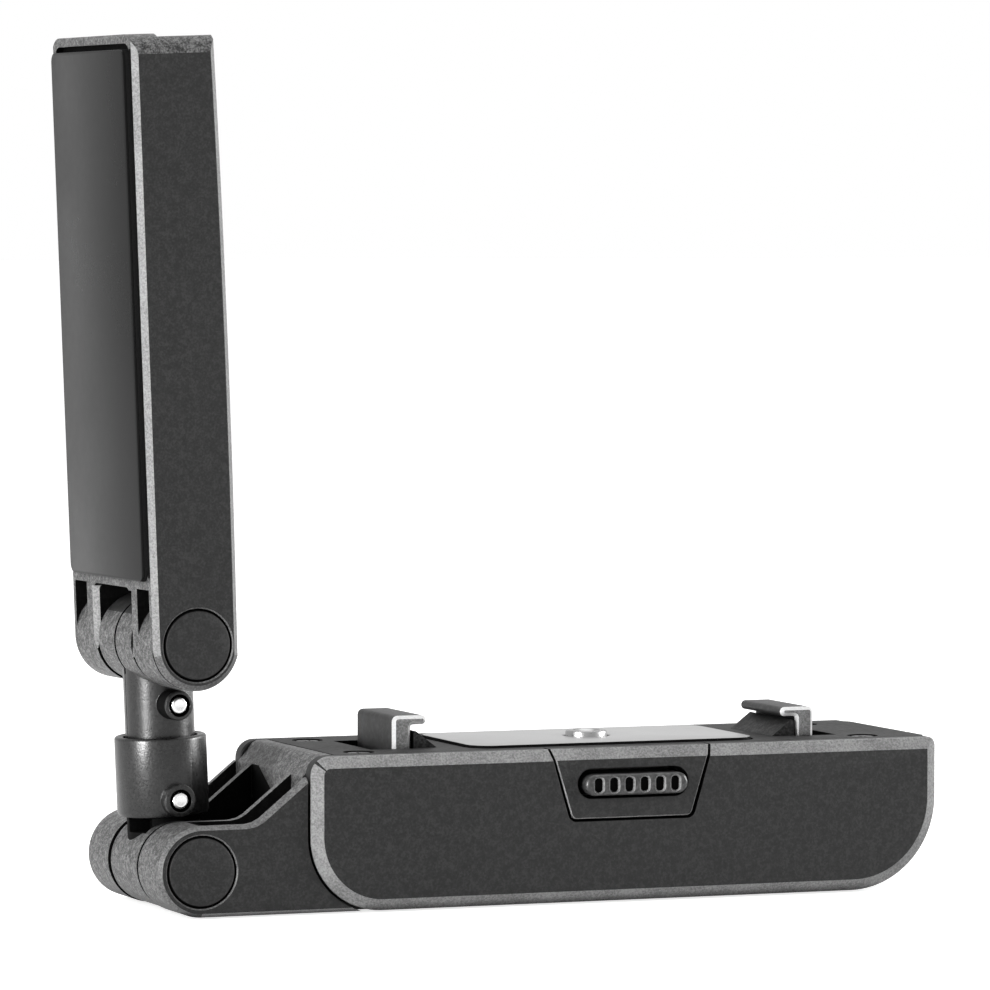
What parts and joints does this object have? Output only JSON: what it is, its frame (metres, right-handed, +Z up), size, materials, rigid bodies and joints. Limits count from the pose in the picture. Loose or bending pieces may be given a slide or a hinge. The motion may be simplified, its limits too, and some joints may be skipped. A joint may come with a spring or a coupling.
{
  "type": "action camera bracket",
  "caption": "Folding bracket with a claw-lock camera base, a swivelling double-hinged post and an arm with an adhesive pad.",
  "frame": {"origin": "middle of the base covers' length on the base's flat underside", "axes": "+X along the base away from the lower hinge, +Y from the button side to the plain side, +Z up out of the camera seat"},
  "size_m": [0.0942, 0.0264, 0.0925],
  "materials": {
    "shell_plastic": "fine grained moulded nylon, near black",
    "cover_plastic": "fine grained moulded plastic, near black",
    "button_plastic": "satin moulded plastic, dark grey",
    "bright_steel": "polished steel",
    "brushed_plate": "satin stainless sheet",
    "spring_steel": "spring steel",
    "nylon": "natural nylon",
    "foam_black": "closed-cell foam tape, black",
    "film_grey": "smooth dark grey release liner"
  },
  "bodies": {
    "base": {"base_frame": "shell_plastic", "front_cover": "cover_plastic", "rear_cover": "cover_plastic", "deck_plate": "shell_plastic", "contact_plate": "brushed_plate", "locating_stud": "bright_steel", "button_bezel": "cover_plastic", "deck_screw_1": "bright_steel", "deck_screw_2": "bright_steel", "deck_screw_3": "bright_steel", "deck_screw_4": "bright_steel", "base_hinge_bolt": "bright_steel", "base_hinge_nut": "bright_steel", "base_hinge_washer_front": "spring_steel", "base_hinge_washer_rear": "spring_steel", "base_hinge_cap_front": "cover_plastic", "base_hinge_cap_rear": "cover_plastic", "claw_spring_left": "spring_steel", "claw_spring_right": "spring_steel", "button_spring": "spring_steel"},
    "button": {"release_button": "button_plastic", "release_wedge": "nylon"},
    "left_claw": {"claw_left": "cover_plastic"},
    "right_claw": {"claw_right": "cover_plastic"},
    "socket": {"swivel_socket": "shell_plastic", "swivel_pin_lower": "bright_steel", "swivel_washer": "nylon"},
    "post": {"swivel_shaft": "bright_steel", "post_front": "shell_plastic", "post_rear": "shell_plastic", "swivel_pin_upper": "bright_steel"},
    "arm": {"arm_body": "shell_plastic", "arm_hinge_bolt": "bright_steel", "arm_hinge_nut": "bright_steel", "arm_hinge_washer_front": "spring_steel", "arm_hinge_washer_rear": "spring_steel", "arm_hinge_cap_front": "cover_plastic", "arm_hinge_cap_rear": "cover_plastic", "adhesive_foam": "foam_black", "pad_film": "film_grey"}
  },
  "joints": [
    {"name": "base_hinge", "type": "hinge", "parent": "base", "child": "socket", "pos_m": [-0.0485, 0, 0.0048], "axis": [0, 1, 0], "range_deg": [-88, 5]},
    {"name": "swivel", "type": "hinge", "parent": "socket", "child": "post", "pos_m": [-0.0485, 0, 0.0048], "axis": [-0.0419, 0, 0.9991], "continuous": true},
    {"name": "arm_hinge", "type": "hinge", "parent": "post", "child": "arm", "pos_m": [-0.0495, 0, 0.02863], "axis": [-0.0488, 0.9988, -0.002], "range_deg": [-90, 90]},
    {"name": "release_button", "type": "slide", "parent": "base", "child": "button", "axis": [0, 1, 0], "range_m": [0, 0.002], "stiffness_N_per_m": 600, "springref_m": -0.002, "deforming": ["button_spring"]},
    {"name": "claw_left", "type": "slide", "parent": "base", "child": "left_claw", "axis": [-1, 0, 0], "range_m": [0, 0.002], "stiffness_N_per_m": 300, "springref_m": -0.002, "deforming": ["claw_spring_left"]},
    {"name": "claw_right", "type": "slide", "parent": "base", "child": "right_claw", "axis": [1, 0, 0], "range_m": [0, 0.002], "stiffness_N_per_m": 300, "springref_m": -0.002, "deforming": ["claw_spring_right"]}
  ],
  "couplings": [
    {"joint": "claw_left", "follows": "release_button", "ratio": 1},
    {"joint": "claw_right", "follows": "release_button", "ratio": 1}
  ]
}
